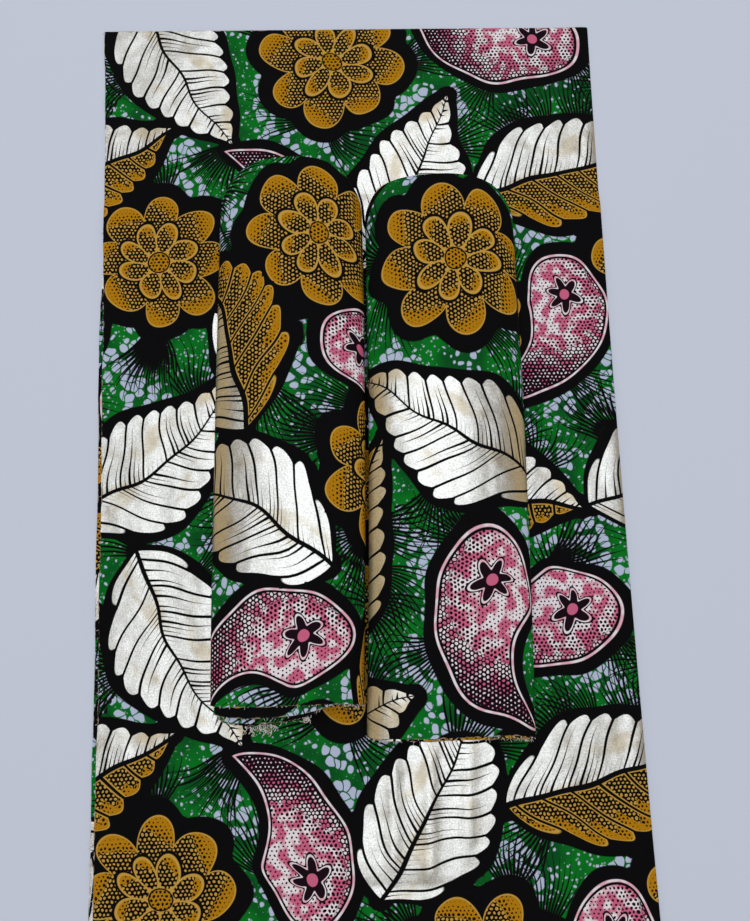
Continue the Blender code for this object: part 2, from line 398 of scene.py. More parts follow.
class Motif:
    """A printed figure with its own frame: u and v in millimetres from its middle."""

    def distance(self, u: Value, v: Value) -> Value:
        """Signed distance to the outline, negative inside."""
        raise NotImplementedError

    def hull(self, u: Value, v: Value) -> Value:
        """Signed distance to the plainer outline that the black halo follows."""
        return self.distance(u, v)

    def paint(self, brush: Brush, u: Signal, v: Signal) -> Ink:
        """The inks inside the outline."""
        raise NotImplementedError


@dataclass(frozen=True)
class Leaf(Motif):
    """A broad lobed leaf in metal foil, with a black midrib and veins.

    A two-toned leaf has stippled ochre lobes on one side of its midrib. A vein has its half
    width at the midrib and what it gains towards the edge; a hairline has its thickness, its
    shortest reach and what chance adds to it. The foil's grain and its patches of painted shade,
    darker and warmer foil in place of a dimmer reflection, are given by their pitch.
    """

    two_toned: bool = False
    length: float = 256.0
    half_width: float = 68.0
    bow: float = 16.0
    rib: float = 2.6
    vein_pitch: float = 30.0
    vein_lean: float = 0.62
    vein_curve: float = 0.0035
    vein_slant: float = 0.8
    vein: Pair = (0.95, 0.75)
    hairs: float = 5.0
    hair: Triple = (1.7, 0.12, 0.95)
    hair_seed: float = 40.0
    lobe: float = 9.0
    sparkle: float = 1.9
    painted_shade_patch: float = 34.0

    def frame(self, u: Value, v: Value) -> tuple[Value, Value, Value, Value]:
        """The leaf's own coordinates.

        The midrib is a half sine bow. The half width is sin(pi x^0.72) of its most, with x
        from 0 at the stalk to 1 at the tip. The vein phase grows by one from vein to vein, and
        falls with the distance from the midrib, so that the veins lean to the tip.

        Args:
            u: Along the leaf.
            v: Across it.

        Returns:
            Share of the length, signed distance from the midrib, half width and vein phase.
        """
        share = kept(u / self.length + 0.5, 0.002, 0.998)
        side = v - self.bow * sine(np.pi * share)
        half = self.half_width * sine(np.pi * power(share, 0.72))
        out = size(side)
        phase = (u - self.vein_lean * out - self.vein_curve * out * out) / self.vein_pitch
        return share, side, half, phase

    def distance(self, u: Value, v: Value) -> Value:
        """Signed distance: how far beyond the lobed half width, or beyond an end."""
        share, side, half, phase = self.frame(u, v)
        scallop = self.lobe * (size(sine(np.pi * phase)) - 0.75)
        scallop = scallop * rise(1.0, 0.8, share) * rise(0.0, 0.08, share)
        return self.beyond(u, size(side) - half - scallop)

    def hull(self, u: Value, v: Value) -> Value:
        """Signed distance to the leaf without its lobes."""
        _, side, half, _ = self.frame(u, v)
        return self.beyond(u, size(side) - half)

    def beyond(self, u: Value, over: Value) -> Value:
        """Signed distance from how far a point lies over the side and past an end."""
        past = higher(size(u) - self.length / 2, 0.0)
        return far(past, higher(over, 0.0)) + lower(over, 0.0) * 0.86

    def paint(self, brush: Brush, u: Signal, v: Signal) -> Ink:
        """Foil between black lines: midrib, veins that taper inwards, and short hairlines."""
        graph, inks = brush.graph, brush.inks
        share, side, half, phase = self.frame(u, v)
        out = size(side) / half
        off = (phase - whole(phase)) * self.vein_pitch * self.vein_slant
        fine = phase * self.hairs
        number = whole(fine)
        chance = graph.chance(number + self.hair_seed * rise(-0.1, 0.1, side))
        hair_off = (fine - number) * self.vein_pitch * self.vein_slant / self.hairs
        thickness, shortest, longer = self.hair
        hair = ink_line(hair_off, thickness * (shortest + longer * chance * chance - out))
        vein = ink_line(off, self.vein[0] + self.vein[1] * out)
        black = higher(higher(vein, ink_line(side, self.rib - 2.0 * share)), hair)
        sparkle = rise(0.32, 0.68, graph.noise(graph.joined(u, v), self.sparkle, 1.0))
        # painted shade: noise patches where the foil is painted darker and warmer, standing in for
        # its dimmer reflection
        painted_shade_patch = rise(0.50, 0.72, graph.noise(graph.joined(u * 0.5, v), self.painted_shade_patch))
        colour = graph.coats(
            inks.dull_foil,
            (sparkle, inks.foil),
            (painted_shade_patch * 0.8, inks.painted_shade_foil),
            # painted reflection: where the face leans, the foil is painted golden
            (graph.attribute("flank_reflection_share"), inks.painted_flank_reflection),
            (black, inks.black),
        )
        foil = 1.0 - black
        if self.two_toned:
            ochre_side = rise(-0.2, 0.2, side)
            depth = lower(-self.distance(u, v), lower(side - self.rib, size(off)))
            lobes = brush.ochre(rise(0.45, 1.15, side / half + 0.014 * off), depth)
            lobes = graph.blend(below(depth, 1.4), lobes, inks.black)
            colour = graph.blend(ochre_side, colour, lobes)
            foil = foil * (1.0 - ochre_side)
        return Ink(colour, foil)


@dataclass(frozen=True)
class Blossom(Motif):
    """A wide open flower in stippled ochre.

    Each of its two rings of petals has a middle radius, a half length and a half width.
    """

    petals: int = 8
    outer: Triple = (62.0, 40.0, 27.5)
    inner: Triple = (35.0, 24.0, 14.5)
    widening: float = 0.22
    notch_radius: float = 93.2
    eye: float = 13.0

    def ring(self, u: Value, v: Value, outer: bool) -> tuple[Value, Value, Value]:
        """Signed distance to a ring's petals, each an egg with its wide end out.

        Args:
            u: First coordinate.
            v: Second coordinate.
            outer: The outer ring, or the inner one, which is half a petal round from it.

        Returns:
            The distance, and the petal's coordinates as shares of its half length and width.
        """
        middle, length, width = self.outer if outer else self.inner
        step = 2 * np.pi / self.petals
        angle = heading(v, u) - (0.0 if outer else step / 2)
        off = angle - whole(angle / step) * step
        radius = far(u, v)
        along = (radius * cosine(off) - middle) / length
        side = radius * sine(off) / (width * (1.0 + self.widening * kept(along, -1.0, 1.0)))
        return (far(along, side) - 1.0) * width, along, side

    def distance(self, u: Value, v: Value) -> Value:
        """Signed distance to the outer petals or to the disc inside them."""
        return lower(self.ring(u, v, True)[0], far(u, v) - self.outer[0])

    def hull(self, u: Value, v: Value) -> Value:
        """Signed distance to the petals or to the disc that fills the notches between them."""
        return lower(self.ring(u, v, True)[0], far(u, v) - self.notch_radius)

    def paint(self, brush: Brush, u: Signal, v: Signal) -> Ink:
        """Each petal runs from black with pale dots to plain ochre, inside a pale outline."""
        inks, radius = brush.inks, far(u, v)
        coats = []
        for outer in (True, False):
            edge, along, side = self.ring(u, v, outer)
            petal = brush.ochre(rise(0.0, 1.2, along + 0.45 * side), -edge)
            if not outer:
                coats.append((below(edge, 2.2), inks.black))
            coats.append((below(edge, -1.3 if outer else -0.2), petal))
        eye = brush.graph.blend(below(brush.dots, 0.30, 0.05), inks.ochre, inks.black)
        coats += [(below(radius, self.eye + 2.0), inks.black), (below(radius, self.eye), eye)]
        return Ink(brush.graph.coats(inks.black, *coats))


@dataclass(frozen=True)
class Paisley(Motif):
    """A curled teardrop in stippled pink, inside double outlines."""

    head: float = 47.0
    tail: float = 158.0
    curl: float = 92.0
    shift: float = 46.0
    patch: float = 13.0
    flower: float = 15.0
    flower_petals: float = 6.0
    flower_lobe: float = 5.5

    def frame(self, u: Value, v: Value) -> tuple[Value, Value]:
        """Arc length from the round head's middle along a curled line, and distance from it."""
        x, y = u + self.shift, self.curl - (v + 0.3 * self.head)
        return self.curl * heading(x, y), self.curl - far(x, y)

    def distance(self, u: Value, v: Value) -> Value:
        """Signed distance: a circle at the head, and a width that falls to 0 at the tail."""
        along, side = self.frame(u, v)
        share = kept(along / self.tail, 0.0, 0.999)
        width = self.head * power(1.0 - share * root(share), 0.9)
        off = lower(along, 0.0) + higher(along - self.tail, 0.0)
        return far(off, side) - width

    def paint(self, brush: Brush, u: Signal, v: Signal) -> Ink:
        """Outline, stippled band, a second outline and a small flower in the head."""
        graph, inks = brush.graph, brush.inks
        along, side = self.frame(u, v)
        depth = -self.distance(u, v)
        patch = rise(0.41, 0.59, graph.noise(graph.joined(u, v), self.patch, 1.0))
        tone = kept(0.80 - 0.80 * rise(5.0, 150.0, along) + 0.008 * side, 0.06, 0.78)
        field = brush.stippled(tone, inks.plum, graph.blend(patch, inks.pink, inks.white))
        light = graph.blend(patch, inks.rose_white, inks.white)
        radius = far(along, side)
        lobe = self.flower_lobe * cosine(self.flower_petals * heading(side, along))
        flower = radius - self.flower - lobe
        return Ink(graph.coats(
            field,
            (below(depth, 4.6), inks.black),
            (below(depth, 2.3), light),
            (below(flower, 4.6), inks.black),
            (below(flower, 2.4), light),
            (below(flower, 0.2), inks.plum),
            (below(radius, 6.0), inks.pink),
        ))


class Kind(Enum):
    """The figures of the print; the value is the material's slot on a piece."""

    LEAF = 0
    BLOSSOM = 1
    PAISLEY = 2
    TWO_TONED_LEAF = 3


FIGURES: dict[Kind, Motif] = {
    Kind.LEAF: Leaf(),
    Kind.BLOSSOM: Blossom(),
    Kind.PAISLEY: Paisley(),
    Kind.TWO_TONED_LEAF: Leaf(two_toned=True),
}


@dataclass(frozen=True)
class Printed:
    """One figure of the repeat, in millimetres and degrees."""

    kind: Kind
    middle: Pair
    turn: float
    scale: float = 1.0
    mirrored: bool = False

    def own(self, offset: Array) -> Array:
        """Offsets from the figure's middle, in the figure's own frame."""
        return turned(offset, np.radians(self.turn), self.scale, self.mirrored)

    def outline(self, offset: Array, plain: bool = False) -> Array:
        """Signed distance at such offsets to the outline, or to the plainer one."""
        motif, own = FIGURES[self.kind], self.own(offset)
        distance = motif.hull if plain else motif.distance
        return distance(own[..., 0], own[..., 1]) * self.scale


@dataclass(frozen=True)
class Layout:
    """The repeat of the print, and where each point of the cloth lies in it."""

    repeat: Pair = (548.0, 641.0)
    figures: tuple[Printed, ...] = (
        Printed(Kind.LEAF, (92, 80), 62, 0.87),
        Printed(Kind.BLOSSOM, (256, 78), 10, 0.80),
        Printed(Kind.PAISLEY, (437, 64), 152, 1.02),
        Printed(Kind.TWO_TONED_LEAF, (518, 198), -20, 0.90),
        Printed(Kind.PAISLEY, (207, 252), -75, 0.95, True),
        Printed(Kind.LEAF, (330, 222), -62, 0.89),
        Printed(Kind.BLOSSOM, (62, 312), 0, 0.75),
        Printed(Kind.TWO_TONED_LEAF, (203, 437), 38, 0.84, True),
        Printed(Kind.BLOSSOM, (376, 394), 20, 0.78),
        Printed(Kind.PAISLEY, (496, 406), 78, 0.94),
        Printed(Kind.LEAF, (56, 520), -38, 0.87),
        Printed(Kind.BLOSSOM, (225, 574), 5, 0.73),
        Printed(Kind.TWO_TONED_LEAF, (404, 550), 22, 0.88),
    )
    hold: float = 3.5
    preference: float = 10.0
    fan_pitch: float = 37.0
    fan_reach: float = 100.0
    fan_spread: float = 0.55
    fan_root: float = -20.0
    fan_clear: float = 14.0
    fan_seed: int = 5

    @staticmethod
    def wavered(place: Array) -> Array:
        """Places moved by slow waves of a few millimetres, so that no figure is quite regular."""
        x, y = place[..., 0], place[..., 1]
        along_x = 2.4 * np.sin(y / 23.0 + 0.7) + 1.9 * np.sin((x + y) / 17.0) + np.sin(y / 8.5)
        along_y = 2.4 * np.sin(x / 26.0 + 1.9) + 1.9 * np.sin((x - y) / 19.0) + np.sin(x / 9.0)
        return place + np.stack((along_x, along_y), axis=-1)

    def wrapped(self, place: Array, middle: Union[Pair, Array]) -> Array:
        """Offset from the nearest copy of a middle, over the repeat both ways."""
        repeat = np.array(self.repeat)
        return np.mod(place - np.array(middle) + repeat / 2, repeat) - repeat / 2

    def nearest_figure(self, middles: Array, corners: Array) -> tuple[Array, Array]:
        """Finds each face's figure: the one that it lies in, or else the nearest plain outline.

        Args:
            middles: Faces' middles on the cloth, (faces, 2), in millimetres.
            corners: Their corners, (faces, corners, 2).

        Returns:
            The kind's number for each face, and (u, v, scale) for each corner.
        """
        best = np.full(len(middles), np.inf)
        kinds = np.zeros(len(middles), dtype=np.int32)
        local = np.zeros((*corners.shape[:2], 3))
        for item in self.figures:
            offset = self.wrapped(middles, item.middle)
            distance, plain = item.outline(offset), item.outline(offset, plain=True)
            score = np.where(distance < self.hold, distance - self.preference, plain)
            nearer = score < best
            best[nearer] = score[nearer]
            kinds[nearer] = item.kind.value
            spread = offset[nearer, None, :] + corners[nearer] - middles[nearer, None, :]
            local[nearer, :, :2] = item.own(spread)
            local[nearer, :, 2] = item.scale
        return kinds, local

    def clear_of_figures(self, place: Array) -> Array:
        """Distance from each place to the nearest figure's plain outline, in millimetres."""
        distances = [
            item.outline(self.wrapped(place, item.middle), plain=True) for item in self.figures
        ]
        return np.min(distances, axis=0)

    def fans(self) -> tuple[Array, Array]:
        """Places the fans of hairlines: they spring from the figures' outlines into the ground.

        Points of an uneven lattice over the repeat that lie on open ground are moved back along
        the slope of the distance to the figures, to a depth inside an outline.

        Returns:
            The fans' roots, (fans, 2), and the angles that they face.
        """
        draw = np.random.default_rng(self.fan_seed)
        counts = [int(side / self.fan_pitch) for side in self.repeat]
        cells = np.stack(np.meshgrid(*map(np.arange, counts), indexing="ij"), -1).reshape(-1, 2)
        place = (cells + draw.uniform(0.1, 0.9, cells.shape)) / counts * np.array(self.repeat)
        clear = self.clear_of_figures(place)
        is_open = clear > self.fan_clear
        place, clear = place[is_open], clear[is_open]
        slope = [self.clear_of_figures(place + step) - clear for step in np.eye(2)]
        slope = np.stack(slope, axis=-1) / np.linalg.norm(slope, axis=0)[:, None]
        roots = place - slope * (clear[:, None] - self.fan_root)
        facing = np.arctan2(slope[:, 1], slope[:, 0]) + draw.uniform(-0.5, 0.5, len(place))
        return roots, facing

    def nearest_fans(self, middles: Array, corners: Array) -> list[Array]:
        """Finds the fans that each face lies deepest in, one for each name in FANS.

        Args:
            middles: Faces' middles on the cloth, (faces, 2), in millimetres.
            corners: Their corners, (faces, corners, 2).

        Returns:
            Arrays that hold (x, y, seed) from a fan's root for each corner.
        """
        roots, facing = self.fans()
        scores = []
        for middle, angle in zip(roots, facing):
            u, v = np.moveaxis(turned(self.wrapped(middles, middle), angle), -1, 0)
            turn = np.abs(np.arctan2(v, u))
            scores.append(np.maximum(np.hypot(u, v) / self.fan_reach, turn / self.fan_spread))
        found = []
        for number in np.argsort(np.array(scores), axis=0)[: len(FANS)]:
            offset = self.wrapped(middles, roots[number])
            spread = offset[:, None, :] + corners - middles[:, None, :]
            own = turned(spread, facing[number][:, None])
            seed = np.broadcast_to(number[:, None, None], (*own.shape[:2], 1))
            found.append(np.concatenate((own, seed), axis=-1))
        return found


@dataclass(frozen=True)
class PrintedCotton:
    """The finish of the cloth: plain woven cotton, printed on both faces and foiled in places.

    The sway of the ground's cells has a pitch and a reach, and each of the two soft ripples of
    the satin foil has a pitch and a height.
    """

    inks: Palette = Palette()
    halo: float = 11.0
    halo_waver: float = 7.0
    bubble: float = 10.5
    speck: float = 7.0
    shade: float = 48.0
    patch: float = 55.0
    spokes: float = 11.0
    hair_length: Pair = (62.0, 100.0)
    hair_sway: float = 0.0025
    thread: float = 0.62
    slub: Pair = (1.1, 7.0)
    sway: Pair = (16.0, 9.0)
    satin: tuple[Pair, Pair] = ((46.0, 2.8), (16.0, 0.50))

    def ground(self, graph: Graph, cloth: Signal) -> Signal:
        """Green with pale bubbles, fine crackle seams and brushes of black hairlines.

        Args:
            graph: The material.
            cloth: The place on the cloth, in millimetres.

        Returns:
            The ground's colour.
        """
        inks, place = self.inks, graph.swayed(cloth, *self.sway)
        shade = graph.noise(cloth, self.shade)
        wide = rise(0.40, 0.64, graph.noise(cloth, self.patch, 0.0))
        blob = below(graph.cells(place, self.bubble), 0.12 + 0.36 * wide, 0.05)
        seam = below(graph.cells(place, self.bubble, "DISTANCE_TO_EDGE"), 0.055, 0.025)
        speck = below(graph.cells(cloth, self.speck), 0.55 * shade - 0.22, 0.06)
        return graph.coats(
            inks.deep_green,
            (rise(0.35, 0.65, shade), inks.green),
            (higher(blob * (1.0 - seam) * 0.94, speck * 0.6), inks.bubble),
            *((self.hairlines(graph, fan), inks.black) for fan in FANS),
        )

    def hairlines(self, graph: Graph, fan: str) -> Signal:
        """Lines that fan out from a root, each with its own length, and taper off.

        Args:
            graph: The material.
            fan: The attribute with a place's x and y from the fan's root, and the fan's seed.

        Returns:
            1 on a line, 0 off it.
        """
        x, y, seed = graph.parts(graph.attribute(fan, "Vector"))
        radius = far(x, y)
        angle = heading(y, x) + self.hair_sway * radius * sine(3.1 * seed)
        phase = angle * self.spokes
        number = whole(phase)
        shortest, longest = self.hair_length
        reach = shortest + (longest - shortest) * graph.chance(number + 31.0 * seed)
        off = size(phase - number) * radius / self.spokes
        drawn = below(off, 0.95 * rise(reach, 0.45 * reach, radius) + 0.25)
        return drawn * rise(0.0, 4.0, reach - radius) * below(size(angle), 0.58, 0.02)

    def weave(self, graph: Graph, cloth: Signal) -> tuple[Signal, Signal]:
        """Plain weave: threads cross as sin(x) sin(y), with slubs along and across.

        Args:
            graph: The material.
            cloth: The place on the cloth, in millimetres.

        Returns:
            The height of the threads, and their unevenness, both about 0 to 1.
        """
        across, along, _ = graph.parts(cloth)
        turn = 2 * np.pi / self.thread
        threads = 0.5 + 0.5 * sine(across * turn) * sine(along * turn)
        first, second = (
            graph.noise(graph.joined(across / wide, along / high), 1.0)
            for wide, high in (self.slub, self.slub[::-1])
        )
        return threads, 0.35 * (first + second) + 0.3 * graph.noise(cloth, 1.4)

    def build(self, kind: Kind) -> bpy.types.Material:
        """Makes the material for the faces whose figure is of one kind.

        Args:
            kind: The figure.

        Returns:
            The material.
        """
        graph, figure, inks = Graph(f"wax_print_{kind.name.lower()}"), FIGURES[kind], self.inks
        cloth = graph.scaled(graph.add("UVMap", {}, uv_map="cloth"), 1.0 / MM)
        u, v, scale = graph.parts(graph.attribute("figure", "Vector"))
        ink = figure.paint(Brush(graph, inks, Stipple().reach(graph, cloth)), u, v)
        inside = below(figure.distance(u, v) * scale, 0.0)
        halo = self.halo + self.halo_waver * (graph.noise(cloth, self.patch, 0.0) - 0.5)
        threads, grain = self.weave(graph, cloth)
        frayed = 1.3 * rise(0.40, 0.70, graph.noise(cloth, 9.0)) - 0.35
        rim = below(graph.attribute("to_edge"), frayed, 0.4)
        foil = ink.foil * inside * (1.0 - rim)
        mottle = rise(0.30, 0.70, grain)
        colour = graph.coats(
            self.ground(graph, cloth),
            (below(graph.attribute("clear"), halo, 0.5), inks.black),
            (inside, ink.colour),
            (rim, inks.selvedge),
            ((1.0 - mottle) * (0.10 + 0.21 * foil), inks.black),
        )
        (wide, high), (narrow, low) = self.satin
        folds = graph.noise(cloth, wide) * high + graph.noise(cloth, narrow) * low
        satin = graph.add("Bump", {"Strength": 1.0, "Distance": MM, "Height": folds})
        height = threads * 0.4 + grain * 1.2
        bump = {"Strength": 0.30, "Distance": 0.15 * MM, "Height": height, "Normal": satin}
        return graph.finish({
            "Base Color": colour,
            "Metallic": 0.8 * foil,
            "Roughness": 0.80 - 0.50 * foil + 0.10 * mottle,
            "Normal": graph.add("Bump", bump),
            "Specular IOR Level": 0.06,
        })


@dataclass(frozen=True)
class Thread:
    """The finish of loose cotton threads at the cut edges, darker here and there."""

    colour: Colour = (0.610, 0.542, 0.498)
    shaded: Colour = (0.312, 0.244, 0.212)
    patch: float = 0.004

    def build(self) -> bpy.types.Material:
        """Makes the material."""
        graph = Graph("cotton_thread")
        noise = graph.noise(graph.add("TexCoord", {}, "Object"), self.patch)
        colour = graph.blend(rise(0.3, 0.7, noise), self.colour, self.shaded)
        return graph.finish({"Base Color": colour, "Roughness": 0.9})


@dataclass(frozen=True)
class Cloth:
    """Makes pieces of printed cloth from a grid of points and their places on the flat cut."""

    layout: Layout
    finishes: tuple[bpy.types.Material, ...]
    ply: float = 0.00050

    def piece(self, name: str, points: Array, flat: Array, shift: Pair) -> bpy.types.Object:
        """A sheet from a grid, with its print placed face by face.

        Args:
            name: The piece's name.
            points: Where each grid point lies, (rows, columns, 3), in metres.
            flat: Its place on the flat cloth, (rows, columns, 2), in metres.
            shift: Where in the print's repeat the cut begins, in metres.

        Returns:
            The object, with a live Solidify that gives the ply its thickness.
        """
        rows, columns = points.shape[:2]
        index = np.arange(rows * columns).reshape(rows, columns)
        quads = (index[:-1, :-1], index[:-1, 1:], index[1:, 1:], index[1:, :-1])
        quads = np.stack(quads, axis=-1).reshape(-1, 4)
        mesh = bpy.data.meshes.new(name)
        mesh.vertices.add(rows * columns)
        mesh.vertices.foreach_set("co", points.reshape(-1))
        mesh.loops.add(quads.size)
        mesh.loops.foreach_set("vertex_index", quads.reshape(-1))
        mesh.polygons.add(len(quads))
        mesh.polygons.foreach_set("loop_start", np.arange(0, quads.size, 4))
        mesh.update(calc_edges=True)
        place = (flat + np.array(shift)).reshape(-1, 2)
        mesh.uv_layers.new(name="cloth").data.foreach_set("uv", place[quads].reshape(-1))
        place = self.layout.wavered(place / MM)
        corners = place[quads]
        middles = corners.mean(axis=1)
        kinds, figure = self.layout.nearest_figure(middles, corners)
        fans = dict(zip(FANS, self.layout.nearest_fans(middles, corners)))
        numbers = {
            "to_edge": np.minimum(flat, np.array(CUT) - flat).min(axis=-1) / MM,
            # painted reflection: how far each point leans, which paints its foil golden
            "flank_reflection_share": self.flank_reflection_share(points),
            "clear": self.layout.clear_of_figures(place),
        }
        for label, values in numbers.items():
            layer = mesh.attributes.new(label, "FLOAT", "POINT")
            layer.data.foreach_set("value", values.reshape(-1))
        for label, values in {"figure": figure, **fans}.items():
            layer = mesh.attributes.new(label, "FLOAT_VECTOR", "CORNER")
            layer.data.foreach_set("vector", values.reshape(-1))
        for finish in self.finishes:
            mesh.materials.append(finish)
        mesh.polygons.foreach_set("material_index", kinds)
        self.sharpen_border(mesh)
        mesh.shade_smooth()
        made = placed(name, mesh)
        wall = made.modifiers.new("ply", "SOLIDIFY")
        wall.thickness = self.ply
        wall.offset = 0.0
        return made

    @staticmethod
    def flank_reflection_share(points: Array) -> Array:
        """0 where the grid lies level, 1 where it leans: there the foil gets a painted golden
        reflection.
        """
        normal = np.cross(np.gradient(points, axis=0), np.gradient(points, axis=1))
        level = np.abs(normal[..., 2]) / np.linalg.norm(normal, axis=-1)
        return 1.0 - rise(0.90, 0.993, level)

    @staticmethod
    def sharpen_border(mesh: bpy.types.Mesh) -> None:
        """Marks the cut edges as sharp, so that the shading doesn't run round them."""
        edges = np.empty(len(mesh.loops), dtype=np.int32)
        mesh.loops.foreach_get("edge_index", edges)
        border = np.bincount(edges, minlength=len(mesh.edges)) == 1
        layer = mesh.attributes.new("sharp_edge", "BOOLEAN", "EDGE")
        layer.data.foreach_set("value", border)


@dataclass(frozen=True)
class Fringe:
    """Loose threads along a stretch of an edge, in metres and degrees."""

    count: int
    shortest: float
    longest: float
    curl: float
    facing: float
    seed: int
    spread: float = 35.0
    turns: float = 1.0
    radius: float = 0.00020
    rings: int = 18
    sides: int = 5

    def tubes(self, edge: Array) -> Array:
        """The threads' surfaces.

        A thread leaves the edge in its own direction. It sways to the side as a sine and rises
        as one minus a cosine, both growing from the root, and its ends taper to points.

        Args:
            edge: Points along the edge, (points, 3).

        Returns:
            Points, (threads, rings, sides, 3).
        """
        draw = np.random.default_rng(self.seed)
        place = draw.uniform(0, len(edge) - 1, self.count)
        start = np.stack([np.interp(place, range(len(edge)), edge[:, k]) for k in range(3)], -1)
        length = draw.uniform(self.shortest, self.longest, self.count)[:, None]
        facing = np.radians(self.facing + draw.uniform(-1, 1, self.count) * self.spread)[:, None]
        curl = self.curl * draw.uniform(0.3, 1.0, self.count)[:, None]
        phase = draw.uniform(0, 2 * np.pi, self.count)[:, None]
        turns = self.turns * draw.uniform(0.4, 1.2, self.count)[:, None]
        t = np.linspace(0, 1, self.rings)[None, :]
        angle = 2 * np.pi * turns * t + phase
        out = length * t - 0.5 * curl * t * np.cos(angle)
        side = curl * np.sqrt(t) * (np.sin(angle) - 0.5 * np.sin(phase))
        lift = 0.35 * curl * t * (1 - np.cos(angle)) + self.radius
        x = out * np.cos(facing) - side * np.sin(facing)
        y = out * np.sin(facing) + side * np.cos(facing)
        line = np.stack((x, y, lift), axis=-1) + start[:, None, :]
        along = np.gradient(line, axis=1)
        along /= np.linalg.norm(along, axis=-1, keepdims=True)
        flat = np.cross(along, (0.0, 0.0, 1.0))
        flat /= np.linalg.norm(flat, axis=-1, keepdims=True)
        upper = np.cross(flat, along)
        ring = np.linspace(0, 2 * np.pi, self.sides, endpoint=False)[:, None]
        radius = self.radius * np.minimum(1.0, 8 * np.minimum(t, 1.02 - t))[..., None, None]
        round_it = flat[:, :, None] * np.cos(ring) + upper[:, :, None] * np.sin(ring)
        return line[:, :, None] + radius * round_it


@dataclass(frozen=True)
class LooseThreads:
    """One piece of joined threads, from fringes and the edges that they grow on."""

    name: str
    stretches: tuple[tuple[Fringe, Array], ...]

    def build(self, finish: bpy.types.Material) -> bpy.types.Object:
        """Joins the threads of each stretch into one mesh.

        Args:
            finish: The threads' material.

        Returns:
            The piece.
        """
        points, faces, first = [], [], 0
        for fringe, edge in self.stretches:
            tubes = fringe.tubes(edge)
            index = first + np.arange(tubes[..., 0].size).reshape(tubes.shape[:3])
            following = np.roll(index, -1, axis=2)
            quads = (index[:, :-1], following[:, :-1], following[:, 1:], index[:, 1:])
            faces.append(np.stack(quads, axis=-1).reshape(-1, 4))
            points.append(tubes.reshape(-1, 3))
            first += tubes[..., 0].size
        mesh = bpy.data.meshes.new(self.name)
        mesh.from_pydata(np.concatenate(points), (), np.concatenate(faces))
        mesh.materials.append(finish)
        mesh.shade_smooth()
        made = placed(self.name, mesh)
        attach(made, ROOT)
        log.info("%s: %d faces", self.name, len(mesh.polygons))
        return made


def stretch(edge: Array, axis: int, low: float, high: float) -> Array:
    """The points of an edge whose x (axis 0) or y (axis 1) lies between two values."""
    return edge[(edge[:, axis] > low) & (edge[:, axis] < high)]


@dataclass(frozen=True)
class Trough:
    """A soft trough or ridge in the base: a straight stroke with round ends, in metres."""

    start: Pair
    end: Pair
    height: float
    half_width: float

    def lift(self, x: Array, y: Array) -> Array:
        """Height over the plane: a bell across the stroke that fades past its ends."""
        (x0, y0), (x1, y1) = self.start, self.end
        length = np.hypot(x1 - x0, y1 - y0)
        ux, uy = (x1 - x0) / length, (y1 - y0) / length
        along = (x - x0) * ux + (y - y0) * uy
        across = (y - y0) * ux - (x - x0) * uy
        past = np.maximum(np.maximum(-along, along - length), 0.0)
        fade = np.exp(-((past / (2.2 * self.half_width)) ** 2))
        return self.height * fade * np.exp(-((across / self.half_width) ** 2))


